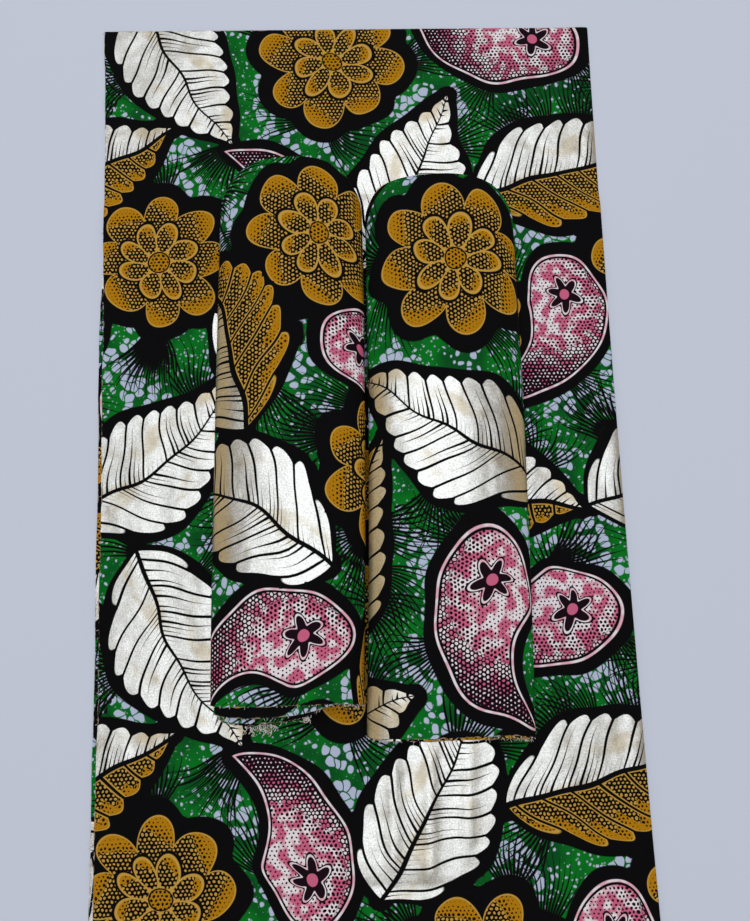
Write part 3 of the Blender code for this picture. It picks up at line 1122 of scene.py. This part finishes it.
@dataclass(frozen=True)
class Base:
    """The length that lies flat: doubled lengthwise, its end turned under at the foot."""

    panel: float = 1.025
    width: float = 0.548
    skew: float = 0.0142
    waist: float = 0.0040
    shift: float = 0.0025
    stack: float = 0.0057
    layer: float = 0.0027
    overhang: float = 0.0050
    set_in: float = 0.0030
    ply_half: float = 0.00025
    inner_radius: float = 0.00085
    fold_reach: float = 0.0042
    bulge: Triple = (0.0007, 0.009, 0.007)
    foot_y: float = -0.51605
    tail_start: float = 0.03
    tail_straight_y: float = 0.15
    tail_end_y: float = 0.28895
    ramp: float = 0.024
    step: float = 0.0046
    print_shift: Pair = (0.0, 0.040)
    troughs: tuple[Trough, ...] = (
        Trough((-0.0240, -0.290), (-0.0265, -0.390), 0.0026, 0.0085),
        Trough((0.0255, -0.290), (0.0215, -0.370), 0.0021, 0.0065),
        Trough((0.0610, -0.285), (0.0560, -0.385), 0.0024, 0.0070),
        Trough((0.1005, -0.285), (0.0945, -0.360), 0.0019, 0.0065),
        Trough((-0.272, -0.3985), (0.270, -0.4045), -0.0005, 0.0035),
        Trough((0.0515, 0.347), (0.1035, 0.381), -0.0007, 0.0110),
        Trough((-0.225, 0.250), (-0.180, -0.200), -0.0005, 0.0200),
        Trough((0.215, 0.200), (0.200, -0.150), -0.0006, 0.0180),
        Trough((0.160, 0.460), (-0.120, 0.400), 0.0005, 0.0240),
        Trough((-0.130, -0.300), (-0.160, -0.480), 0.0005, 0.0160),
        Trough((0.180, -0.250), (0.215, -0.480), 0.0006, 0.0170),
    )

    @property
    def nose_y(self) -> float:
        """The y of the middle line that the cloth turns round at the foot."""
        return self.foot_y + self.stack / 2

    @property
    def head_y(self) -> float:
        """The y of the cut end at the head."""
        return self.foot_y + self.panel

    @property
    def panel_rows(self) -> int:
        """How many rows lie on top."""
        return int(self.panel / self.step)

    def columns(self) -> tuple[Array, Array, Array]:
        """The section across: upper ply, round the fold, and lower ply back.

        Returns:
            For each column the share from the left edge to the fold's start, the distance
            past that start as a share of the fold's reach, and the side, 1 on the upper ply
            and -1 on the lower one.
        """
        upper = np.linspace(0.0, 1.0, int(self.width / self.step))
        turn = np.radians(np.arange(75.0, -76.0, -15.0))
        under = np.linspace(1.0, 0.0, 26)
        share = np.concatenate((upper, np.ones(len(turn)), under))
        past = np.concatenate((0 * upper, np.cos(turn), 0 * under))
        side = np.concatenate((0 * upper + 1, np.sin(turn), 0 * under - 1))
        return share, past, side

    def rows(self) -> tuple[Array, Array]:
        """The way from head to tail: y of the panel, then the nose's turn, then the tail's y.

        Returns:
            The y of each row's straight part, and the angle turned, from 0 to pi.
        """
        panel = np.linspace(self.head_y, self.nose_y + self.step, self.panel_rows)
        turn = np.radians(np.arange(0.0, 181.0, 18.0))
        tail = np.linspace(self.nose_y + self.tail_start, self.tail_end_y, 24)
        y = np.concatenate((panel, np.full(len(turn), self.nose_y), tail))
        angle = np.concatenate((0 * panel, turn, 0 * tail + np.pi))
        return y[:, None], angle[:, None]

    def grid(self) -> tuple[Array, Array]:
        """Points and flat places of the whole cut.

        A point lies at a radius from the nose's middle line that goes from the outer ply to
        the inner one round the fold. The panel keeps that radius above the middle line, the
        nose turns it through half a circle, and the tail keeps it below.

        Returns:
            The points, (rows, columns, 3), and the places on the flat cut, (rows, columns, 2).
        """
        share, past, side = self.columns()
        y, angle = self.rows()
        outer, inner = self.stack / 2 - self.ply_half, self.inner_radius
        radius = (outer + inner) / 2 + side * (outer - inner) / 2
        tail_share = (1 - np.cos(angle)) / 2
        drawn_in = self.waist * (1 - (2 * y / self.panel) ** 2)
        left = self.shift - self.width / 2 + drawn_in
        left = left - tail_share * self.overhang * rise(self.tail_end_y, self.tail_straight_y, y)
        left = left + self.edge_waver(y, side, tail_share)
        right = self.shift + self.width / 2 - drawn_in - tail_share * self.set_in
        x = left + (right - self.fold_reach - left) * share + self.fold_reach * past
        z = self.stack / 2 + radius * np.cos(angle)
        place_y = y - radius * np.sin(angle)
        step_down = rise(self.tail_end_y, self.tail_end_y + self.ramp, y) * (tail_share < 0.5)
        floor_leaf = self.layer / 2 + side * (self.layer / 2 - self.ply_half)
        z = z + (floor_leaf - z) * step_down
        z = z + self.relief(x, place_y, side, right) * (tail_share == 0)
        from_foot = place_y - self.foot_y
        slant = -self.skew * (x - self.shift) / self.width / self.panel
        points = np.stack((x, self.foot_y + from_foot * (1 + slant), z), axis=-1)
        return points, self.flat(y, angle, radius, (x - left) / (right - left), side)

    @staticmethod
    def edge_waver(y: Array, side: Array, tail_share: Array) -> Array:
        """How far the two selvedges stray from the left edge, each in its own slow wave."""
        phase = 2.1 * side + 3.3 * tail_share
        return 0.0005 * np.sin(31.0 * y + phase) + 0.0003 * np.sin(83.0 * y - 2.0 * phase) + 0.0006

    def relief(self, x: Array, y: Array, side: Array, right: Array) -> Array:
        """Height of the soft folds: placed troughs, the bulge along the fold and slow waves."""
        lift = sum(trough.lift(x, y) for trough in self.troughs)
        height, inwards, width = self.bulge
        lift = lift + height * np.exp(-(((right - x - inwards) / width) ** 2))
        waves = 0.00028 * np.sin(19.0 * x + 5.0 * y + 1.0) * np.sin(11.0 * y - 4.0 * x + 0.4)
        waves = waves + 0.00012 * np.sin(57.0 * x - 23.0 * y) * np.sin(41.0 * y + 13.0 * x)
        return lift * (0.5 + 0.5 * side) + (waves - 0.0003) * (0.65 + 0.35 * side)

    def flat(self, y: Array, angle: Array, radius: Array, share: Array, side: Array) -> Array:
        """Place on the flat cut: across from one selvedge to the other, along from the head.

        Args:
            y: Each row's straight part.
            angle: The angle that it has turned at the nose.
            radius: The distance from the nose's middle line.
            share: How far across the doubled width a point lies.
            side: 1 on the upper ply, -1 on the lower one.

        Returns:
            The places, (rows, columns, 2).
        """
        round_nose = self.head_y - self.nose_y + radius * angle
        tail = round_nose + (y - self.nose_y)
        along = np.where(angle == 0, self.head_y - y, np.where(y > self.nose_y, tail, round_nose))
        across = np.where(side > 0, share, 2 - share) * self.width
        return np.stack((across, np.broadcast_to(along, across.shape)), axis=-1)

    def threads(self, points: Array) -> LooseThreads:
        """The threads at the selvedges, two bundles of them long ones near the foot."""
        upper, tail = points[: self.panel_rows, 0], points[:, -1]
        return LooseThreads("base_threads", (
            (Fringe(26, 0.0010, 0.0030, 0.0006, 180.0, 3), upper),
            (Fringe(3, 0.0050, 0.0090, 0.0010, 175.0, 4), stretch(upper, 1, -0.359, -0.352)),
            (Fringe(3, 0.0050, 0.0090, 0.0012, 190.0, 5), stretch(upper, 1, -0.378, -0.370)),
            (Fringe(18, 0.0008, 0.0022, 0.0005, 180.0, 6), stretch(tail, 1, -0.48, 0.20)),
        ))


@dataclass(frozen=True)
class Roll:
    """A length doubled across its width and wound into a soft flat roll.

    The turns outside are bared at the foot between two shares of a turn. Each bunch of threads
    has its two ends in x, its count and its longest thread, and hangs from the bunched turns.
    """

    name: str
    foot_y: float
    head_y: float
    centre: Triple
    half_width: Triple
    height: Triple
    shoulders: Pair
    slip_places: tuple[float, ...]
    slip_reach: tuple[float, ...]
    free_side: int
    foot_depths: tuple[float, ...]
    head_depths: tuple[float, ...]
    print_shift: Pair
    foot_corner: float
    bunches: tuple[tuple[float, float, int, float], ...] = ()
    creases: tuple[tuple[float, float, float, float], ...] = (
        (62.0, 0.1, 0.75, 0.6),
        (118.0, 0.3, 0.95, 0.5),
        (88.0, -0.1, 0.4, 0.35),
        (35.0, 0.4, 0.9, 0.4),
        (146.0, 0.05, 0.6, 0.45),
    )
    stack: float = 0.0057
    loose: float = 0.00035
    bed_share: float = 0.44
    pitch: float = 0.0034
    ply_half: float = 0.00025
    inner_ply: float = 0.00205
    turns: float = 5.0
    free_edge: float = 234.0
    top_fullness: float = 2.25
    bed_fullness: float = 3.4
    bed_holds: float = 0.76
    shoulder_round: float = 0.96
    tuck_length: float = 0.030
    side_tuck: float = 0.011
    crown_tuck: float = 0.0025
    round_fold: float = 0.003
    frill: float = 0.0012
    bared: Pair = (0.13, 0.66)
    bunched: Pair = (3.1, 3.66)
    fringes: tuple[Fringe, ...] = (
        Fringe(30, 0.0006, 0.0024, 0.0007, 270.0, 11),
        Fringe(30, 0.0008, 0.0032, 0.0010, 270.0, 12),
        Fringe(30, 0.0010, 0.0040, 0.0010, 270.0, 13),
    )

    @staticmethod
    def through(values: Triple, share: Array) -> Array:
        """The parabola that has the three values at shares 0, 0.5 and 1."""
        foot, middle, head = values
        ends = foot * (1 - share) * (1 - 2 * share) + head * share * (2 * share - 1)
        return ends + middle * 4 * share * (1 - share)

    def up_from_foot(self, y: Array) -> Array:
        """The share of the roll's length at which y lies."""
        return (y - self.foot_y) / (self.head_y - self.foot_y)

    def head_line(self, angle: Array) -> Array:
        """The y of the fold at the head, which falls back at the shoulders on an ellipse."""
        side = np.cos(angle)
        shoulder = np.where(side < 0, self.shoulders[0], self.shoulders[1])
        return self.head_y - shoulder * (1 - np.sqrt(1 - self.shoulder_round * side**2))

    def section(self, y: Array, angle: Array, inset: Array) -> tuple[Array, Array]:
        """A point on the roll's outline, a superellipse, moved inwards by inset.

        The outline is fuller on its bed than on top, and its sides and crown turn in along a
        parabola at the head.

        Args:
            y: Place along the roll.
            angle: From 0 at the right, over a quarter turn at the crown.
            inset: How deep the point lies.

        Returns:
            x and z.
        """
        share = self.up_from_foot(y)
        from_head = np.clip((self.head_line(angle) - y) / self.tuck_length, 0.0, 1.0)
        turned_in = (1 - from_head) ** 2
        height = self.through(self.height, share)
        drop = height * self.bed_share
        crown = height - drop - self.crown_tuck * turned_in
        cos, sin = np.cos(angle), np.sin(angle)
        fullness = np.where(sin >= 0, self.top_fullness, self.bed_fullness)
        reach = np.where(sin >= 0, crown, drop) - inset
        half = self.through(self.half_width, share) - self.side_tuck * turned_in - inset
        x = self.through(self.centre, share) + half * np.sign(cos) * np.abs(cos) ** (2 / fullness)
        z = self.stack + self.loose + drop
        return x, z + reach * np.sign(sin) * np.abs(sin) ** (2 / fullness)

    def winding(self) -> tuple[Array, Array]:
        """The columns: turns wound from the free edge, closer together on the outer turn."""
        outer = np.arange(0.0, 1.15, 5.0 / 360.0)
        inner = np.arange(1.15, self.turns + 0.02, 8.0 / 360.0)
        wound = np.concatenate((outer, inner))
        angle = np.radians(self.free_edge - 360.0 * wound)
        return wound, angle if self.free_side < 0 else np.pi - angle

    def depth(self, wound: Array) -> Array:
        """How deep the outer ply lies: one pitch more each time it passes its own free edge."""
        turn = np.floor(wound)
        return self.pitch * (turn + rise(0.86, 0.985, wound - turn))

    @staticmethod
    def by_turn(depths: tuple[float, ...], wound: Array) -> Array:
        """Values of the inner turns, the first at one whole turn, read between them."""
        level = np.clip(wound - 1.0, 0.0, len(depths) - 1)
        return np.interp(level, range(len(depths)), depths)

    def grid(self) -> tuple[Array, Array]:
        """Points and flat places of the whole cut.

        Along the roll, a row runs up the outer ply, round the fold at the head and down the
        inner ply. Across it, a column lies at an angle of the spiral.

        Returns:
            The points, (rows, columns, 3), and the places on the flat cut, (rows, columns, 2).
        """
        wound, angle = self.winding()
        between = self.inner_ply - self.ply_half
        up = np.concatenate((np.linspace(0.0, 0.93, 86), np.linspace(0.94, 1.0, 9)))
        turn = np.radians(np.arange(20.0, 161.0, 20.0))
        down = np.concatenate((np.linspace(1.0, 0.94, 5), np.linspace(0.90, 0.0, 12)))
        share = np.concatenate((up, np.ones(len(turn)), down))[:, None]
        past = np.concatenate((0 * up, np.sin(turn), 0 * down))[:, None]
        ply = np.concatenate((0 * up, (1 - np.cos(turn)) / 2, 0 * down + 1))[:, None]
        recess = self.by_turn(self.head_depths, wound) * rise(0.85, 1.3, wound)
        head = self.head_line(angle) - between / 2 - recess
        foot = self.foot_y - self.foot_slip(wound, angle)
        foot = foot + self.frill * ply * np.sin(9 * angle + 1)
        foot = foot - self.foot_corner * np.maximum(np.cos(angle), 0.0) ** 5
        y = foot + (head - foot) * share + between / 2 * past
        inset = self.depth(wound) + self.ply_half + between * ply
        inset = inset + self.relief(y, angle) * rise(1.25, 0.95, wound)
        x, z = self.section(y, angle, inset)
        points = np.stack((x, y, z), axis=-1)
        steps = np.linalg.norm(np.diff(points[len(up) // 2], axis=0), axis=1)
        along = np.concatenate(((0.0,), np.cumsum(steps)))
        half = CUT[0] / 2
        up_share = share * (half - self.round_fold / 2)
        across = np.where(ply == 0, up_share, np.where(ply == 1, CUT[0] - up_share, half))
        across = across + (ply - 0.5) * self.round_fold * (past > 0)
        return points, np.stack(np.broadcast_arrays(across, along[None, :]), axis=-1)

    def foot_slip(self, wound: Array, angle: Array) -> Array:
        """How far a turn slips out at the foot: most on top, and each turn by its own share."""
        reach = np.interp((1 + np.cos(angle)) / 2, self.slip_places, self.slip_reach)
        reach = reach * (1 - self.bed_holds * (1 - np.sin(angle)) / 2)
        return reach * self.by_turn(self.foot_depths, wound) * rise(0.90, 1.10, wound)

    def relief(self, y: Array, angle: Array) -> Array:
        """Inset of slow waves, and of troughs that run along the roll.

        Each of the creases has the angle of its middle, its start and end as shares of the
        roll's length, and its depth in millimetres.

        Args:
            y: Place along the roll.
            angle: Place round it.

        Returns:
            How much deeper a point lies.
        """
        turn, share = np.degrees(angle) % 360.0, self.up_from_foot(y)
        waves = 0.00022 * np.sin(7.0 * share + 0.06 * turn) * np.sin(0.11 * turn + 4.0 * share)
        waves = waves + 0.00014 * np.sin(17.0 * share - 0.09 * turn + self.free_side)
        for middle, start, end, depth in self.creases:
            lane = np.exp(-(((turn - middle - 6.0 * np.sin(5.0 * share)) / 7.0) ** 2))
            lane = lane * rise(start - 0.12, start + 0.12, share)
            waves = waves + MM * depth * lane * rise(end + 0.12, end - 0.12, share)
        return waves

    def threads(self, points: Array) -> LooseThreads:
        """The threads at the foot, on top of three turns and in curled bunches under them."""
        (wound, _), foot = self.winding(), points[0]
        start, end = self.bared
        stretches = [
            (fringe, foot[(wound > turn + start) & (wound < turn + end)])
            for turn, fringe in enumerate(self.fringes)
        ]
        under = foot[(wound > self.bunched[0]) & (wound < self.bunched[1])]
        for low, high, count, longest in self.bunches:
            bunch = Fringe(
                count, longest / 2, longest, 0.0036, 268.0, count,
                spread=60.0, turns=2.6, radius=0.00026, rings=30,
            )
            stretches.append((bunch, stretch(under, 0, low, high)))
        return LooseThreads(f"{self.name}_threads", tuple(stretches))


LEFT_ROLL = Roll(
    name="left_roll",
    foot_y=-0.2231,
    head_y=0.3355,
    centre=(-0.0765, -0.0680, -0.0610),
    half_width=(0.0750, 0.0768, 0.0743),
    height=(0.0365, 0.0380, 0.0375),
    shoulders=(0.028, 0.034),
    slip_places=(0.0, 0.05, 0.30, 0.52, 0.66, 0.74, 0.80, 1.0),
    slip_reach=(0.024, 0.022, 0.021, 0.018, 0.012, 0.007, 0.002, 0.0),
    foot_corner=0.0050,
    free_side=-1,
    foot_depths=(0.45, 0.75, 1.0, 0.85),
    head_depths=(0.0022, 0.0050, 0.0032, 0.0065),
    print_shift=(0.145, 0.165),
    bunches=((-0.118, -0.088, 16, 0.013), (-0.065, -0.056, 5, 0.008)),
)
RIGHT_ROLL = Roll(
    name="right_roll",
    foot_y=-0.2580,
    head_y=0.3105,
    centre=(0.0818, 0.0913, 0.0945),
    half_width=(0.0818, 0.0800, 0.0783),
    height=(0.0370, 0.0385, 0.0375),
    shoulders=(0.016, 0.025),
    slip_places=(0.0, 0.2, 0.5, 0.8, 1.0),
    slip_reach=(0.002, 0.0035, 0.0035, 0.004, 0.0035),
    foot_corner=0.0060,
    free_side=1,
    foot_depths=(0.75, 1.0, 0.4, 1.1),
    head_depths=(0.0030, 0.0018, 0.0060, 0.0040),
    print_shift=(0.345, 0.611),
)


@dataclass(frozen=True)
class View:
    """The photograph's view, in the part's frame; a focal length of 750 pixels."""

    place: Triple = (0.01369, -0.09279, 0.77871)
    turn: Triple = (0.13717, 0.0, -0.03610)
    picture_height: float = 921.0
    focal_pixels: float = 750.0
    sensor: float = 36.0

    def build(self) -> None:
        """Makes the camera."""
        camera = bpy.data.cameras.new("view")
        camera.sensor_width = self.sensor
        camera.lens = self.sensor * self.focal_pixels / self.picture_height
        camera.clip_start = 0.02
        made = placed("view", camera)
        made.location = self.place
        made.rotation_euler = Euler(self.turn)
        bpy.context.scene.camera = made


@dataclass(frozen=True)
class Lamp:
    """A soft rectangular light: where it hangs, what it faces, its sides and its watts."""

    name: str
    place: Triple
    aim: Triple
    spread: Pair
    watts: float

    def build(self, colour: Colour) -> None:
        """Makes the light, in a colour."""
        lamp = bpy.data.lights.new(self.name, "AREA")
        lamp.shape = "RECTANGLE"
        lamp.size, lamp.size_y = self.spread
        lamp.energy = self.watts
        lamp.color = colour
        made = placed(self.name, lamp)
        made.location = self.place
        facing = Vector(self.aim) - Vector(self.place)
        made.rotation_euler = facing.to_track_quat("-Z", "Y").to_euler()


@dataclass(frozen=True)
class Studio:
    """A plain pale floor under soft light from above."""

    floor_colour: Colour = (0.425, 0.4385, 0.492)
    daylight: Colour = (0.90, 1.00, 1.14)
    sky: Colour = (0.47, 0.43, 0.36)
    reach: float = 8.0
    lamps: tuple[Lamp, ...] = (
        Lamp("ceiling", (-0.10, 0.85, 3.6), (-0.10, 0.85, 0.0), (2.8, 6.0), 155.0),
        Lamp("overhead", (0.20, 0.85, 3.5), (0.20, 0.85, 0.0), (1.5, 5.5), 11.0),
    )

    def build(self) -> None:
        """Makes the floor, the sky and the lights."""
        self.floor()
        world = bpy.data.worlds.new("soft_sky")
        world.use_nodes = True
        world.node_tree.nodes["Background"].inputs["Color"].default_value = (*self.sky, 1.0)
        bpy.context.scene.world = world
        for lamp in self.lamps:
            lamp.build(self.daylight)
        bpy.context.scene.view_settings.view_transform = "Standard"

    def floor(self) -> None:
        """Makes the floor, a plane with a matt pale finish."""
        mesh = bpy.data.meshes.new("floor")
        square = ((-1, -1), (1, -1), (1, 1), (-1, 1))
        corners = [(self.reach * x, self.reach * y, 0) for x, y in square]
        mesh.from_pydata(corners, (), ((0, 1, 2, 3),))
        colour = (*self.floor_colour, 1.0)
        finish = {"Base Color": colour, "Roughness": 0.9, "Specular IOR Level": 0.1}
        mesh.materials.append(Graph("pale_floor").finish(finish))
        placed("floor", mesh)


@dataclass(frozen=True)
class Dresser:
    """Makes the cloth pieces and ties them to the frame."""

    cloth: Cloth
    thread: bpy.types.Material

    def dress(
        self, name: str, source: Union[Base, Roll], nodes: tuple[str, ...],
    ) -> None:
        """Makes a sheet with its loose threads.

        Args:
            name: The sheet's name.
            source: The length that gives its shape.
            nodes: The CAD nodes that it stands for.
        """
        points, flat = source.grid()
        piece = self.cloth.piece(name, points, flat, source.print_shift)
        threads = source.threads(points).build(self.thread)
        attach(piece, ROOT)
        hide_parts(*nodes)
        log.info("%s: %d faces", piece.name, len(piece.data.polygons))


def main() -> None:
    """Builds the set, its view and its light."""
    logging.basicConfig(level=logging.INFO, format="%(message)s")
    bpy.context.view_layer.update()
    View().build()
    Studio().build()
    cotton, thread = PrintedCotton(), Thread().build()
    dresser = Dresser(Cloth(Layout(), tuple(cotton.build(kind) for kind in Kind)), thread)
    base = "base_length"
    dresser.dress(base, Base(), ("base_cloth", "base_tail"))
    for roll, side in ((LEFT_ROLL, "left"), (RIGHT_ROLL, "right")):
        nodes = (f"{side}_wrap", f"{side}_core")
        dresser.dress(roll.name, roll, nodes)


if __name__ == "__main__":
    main()
